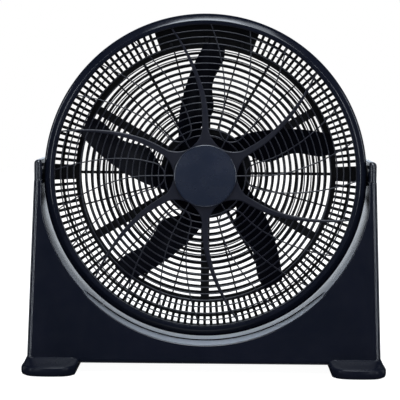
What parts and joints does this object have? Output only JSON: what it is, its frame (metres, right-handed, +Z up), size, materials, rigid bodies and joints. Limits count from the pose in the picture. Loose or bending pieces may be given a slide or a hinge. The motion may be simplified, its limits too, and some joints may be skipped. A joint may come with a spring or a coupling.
{
  "type": "drum floor fan",
  "caption": "Floor fan with a round drum, swirl front grille, blade rotor and motor, tilting in a U-shaped cradle base on two wide feet.",
  "frame": {"origin": "on the floor, under the centre of the fan's box (feet centred in X and Y)", "axes": "+Z up, +X to the right seen from the front, the front grille faces -Y; the tilt axis is parallel to X"},
  "size_m": [0.6156, 0.274, 0.612],
  "materials": {
    "base_plastic": "gloss black moulded plastic",
    "drum_plastic": "gloss black moulded plastic",
    "grille_plastic": "satin black moulded plastic",
    "badge_plastic": "dark blue-black gloss disc",
    "blade_plastic": "satin black moulded plastic",
    "knob_plastic": "matt black plastic",
    "inner_plastic": "matt dark plastic",
    "bush_nylon": "natural nylon",
    "pad_rubber": "black rubber",
    "steel": "bright steel",
    "screw_steel": "black-oxide steel",
    "motor_alloy": "die-cast aluminium",
    "lamination_steel": "varnished steel laminations",
    "copper": "enamelled copper wire",
    "bearing_bronze": "sintered bronze"
  },
  "bodies": {
    "base": {"base_front_shell": "base_plastic", "base_rear_shell": "base_plastic", "base_bottom_plate": "inner_plastic", "base_screws": "screw_steel", "foot_pads": "pad_rubber", "foot_screws": "screw_steel", "left_foot": "base_plastic", "right_foot": "base_plastic", "left_arm_cap": "base_plastic", "right_arm_cap": "base_plastic", "left_pivot_bush": "bush_nylon", "right_pivot_bush": "bush_nylon", "left_friction_washer": "pad_rubber", "right_friction_washer": "pad_rubber"},
    "drum": {"drum_shell": "drum_plastic", "front_ring": "drum_plastic", "rear_ring": "drum_plastic", "front_grille": "grille_plastic", "hub_badge": "badge_plastic", "rear_grille": "grille_plastic", "left_pivot_pin": "steel", "right_pivot_pin": "steel", "motor_front_bell": "motor_alloy", "motor_rear_bell": "motor_alloy", "motor_bolts": "screw_steel", "motor_rear_cover": "drum_plastic", "cover_screws": "screw_steel", "stator_core": "lamination_steel", "stator_windings": "copper", "front_bearing": "bearing_bronze", "rear_bearing": "bearing_bronze", "control_housing": "drum_plastic", "housing_screws": "screw_steel", "switch_body": "inner_plastic", "run_capacitor": "inner_plastic", "motor_lead": "inner_plastic", "cord_gland": "pad_rubber", "carry_handle": "drum_plastic", "handle_screws": "screw_steel"},
    "rotor": {"motor_shaft": "steel", "rotor_core": "lamination_steel", "drive_pin": "steel", "fan_blade": "blade_plastic", "spinner_nut": "knob_plastic"},
    "knob": {"speed_knob": "knob_plastic", "switch_spindle": "steel"}
  },
  "joints": [
    {"name": "drum_tilt", "type": "hinge", "parent": "base", "child": "drum", "pos_m": [0, 0, 0.336], "axis": [1, 0, 0], "range_deg": [-90, 30]},
    {"name": "rotor_spin", "type": "hinge", "parent": "drum", "child": "rotor", "pos_m": [0, 0, 0.336], "axis": [0, 1, 0], "continuous": true},
    {"name": "speed_select", "type": "hinge", "parent": "drum", "child": "knob", "pos_m": [0.03848, 0.0825, 0.57897], "axis": [0, -1, 0], "range_deg": [0, 135]}
  ]
}
